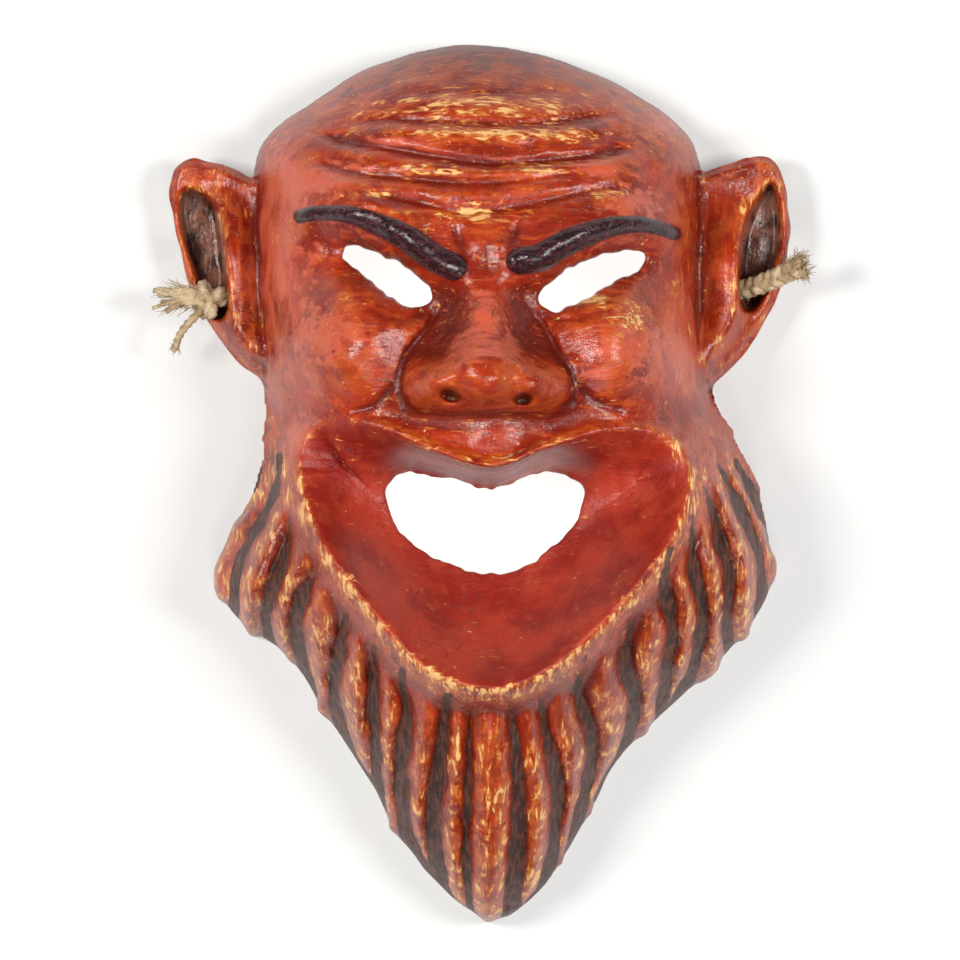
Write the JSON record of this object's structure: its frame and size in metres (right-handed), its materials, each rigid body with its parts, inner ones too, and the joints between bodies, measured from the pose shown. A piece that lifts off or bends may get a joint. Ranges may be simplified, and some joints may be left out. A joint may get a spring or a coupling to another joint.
{
  "type": "ancient comedy satyr mask",
  "caption": "Hollow papier-mache theatre mask of a bald satyr with cupped ears, a trumpet mouth and a fluted beard, tied with plaited jute.",
  "frame": {"origin": "middle of the mask without its tie, in the plane of the back rim", "axes": "+Z out of the face, +Y towards the crown, +X towards the wearer's left ear"},
  "size_m": [0.2249, 0.3005, 0.1027],
  "materials": {
    "painted_pulp": "satin",
    "jute": "matte"
  },
  "bodies": {
    "root": {"mask": "painted_pulp", "tie_cord": "jute", "tie_knot": "jute"}
  },
  "joints": []
}
